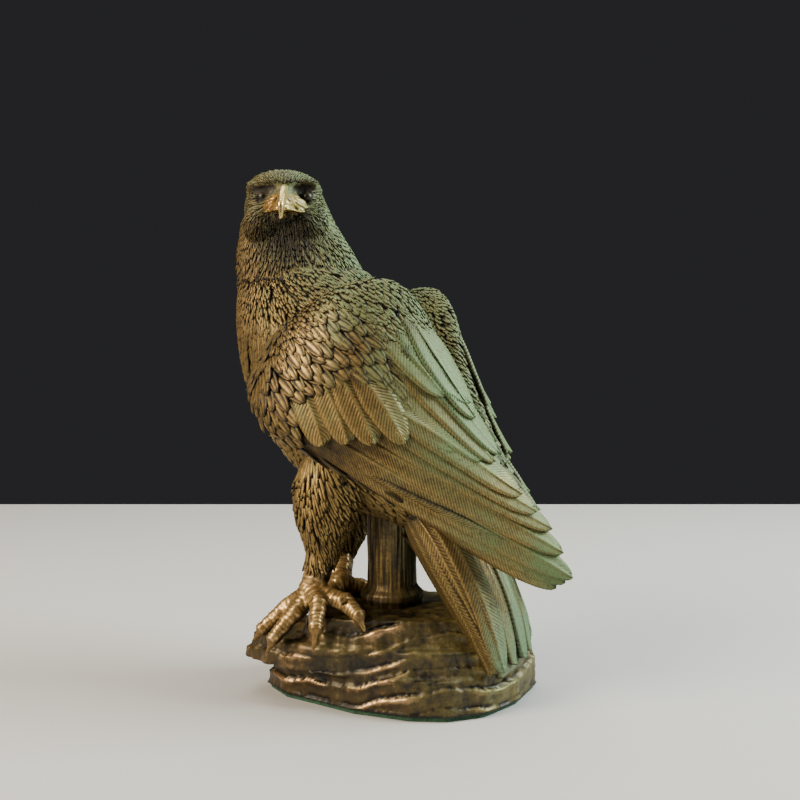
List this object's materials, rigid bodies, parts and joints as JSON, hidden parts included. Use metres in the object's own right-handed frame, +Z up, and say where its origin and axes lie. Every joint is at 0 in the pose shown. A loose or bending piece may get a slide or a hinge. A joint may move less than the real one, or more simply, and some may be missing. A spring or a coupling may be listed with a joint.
{
  "type": "bronze eagle statuette",
  "caption": "Bronze statuette of an eagle with folded wings and turned head, standing on a layered rock.",
  "frame": {"origin": "centre of the felt pad's underside, on the surface that the statuette stands on", "axes": "+Z up, -Y towards the front that the head looks at, +X towards the tail's side"},
  "size_m": [0.064, 0.0462, 0.1028],
  "materials": {
    "green_gold_bronze": "patinated bronze, verdigris on the raised parts over golden brown, dark recesses",
    "dark_bronze": "dark brown patina with rubbed coppery edges",
    "plain_bronze": "bare machined bronze, dull",
    "plate_brass": "brushed sheet brass, tarnished",
    "steel": "plain zinc-grey steel",
    "felt": "dark green wool felt"
  },
  "bodies": {
    "root": {"torso": "green_gold_bronze", "head": "green_gold_bronze", "left_wing": "green_gold_bronze", "right_wing": "green_gold_bronze", "left_leg": "green_gold_bronze", "right_leg": "green_gold_bronze", "tail": "green_gold_bronze", "stump": "green_gold_bronze", "rock_base": "dark_bronze", "neck_collar": "plain_bronze", "neck_pins": "plain_bronze", "core_plugs": "plain_bronze", "left_wing_dowels": "plain_bronze", "right_wing_dowels": "plain_bronze", "tail_dowels": "plain_bronze", "left_thigh_dowel": "plain_bronze", "right_thigh_dowel": "plain_bronze", "tail_foot_pin": "plain_bronze", "left_foot_stud": "steel", "left_foot_washer": "steel", "left_foot_nut": "steel", "right_foot_stud": "steel", "right_foot_washer": "steel", "right_foot_nut": "steel", "tie_rod": "steel", "tie_rod_washer": "steel", "tie_rod_nut": "steel", "base_plate": "plate_brass", "base_plate_screws": "plate_brass", "felt_pad": "felt"}
  },
  "joints": []
}
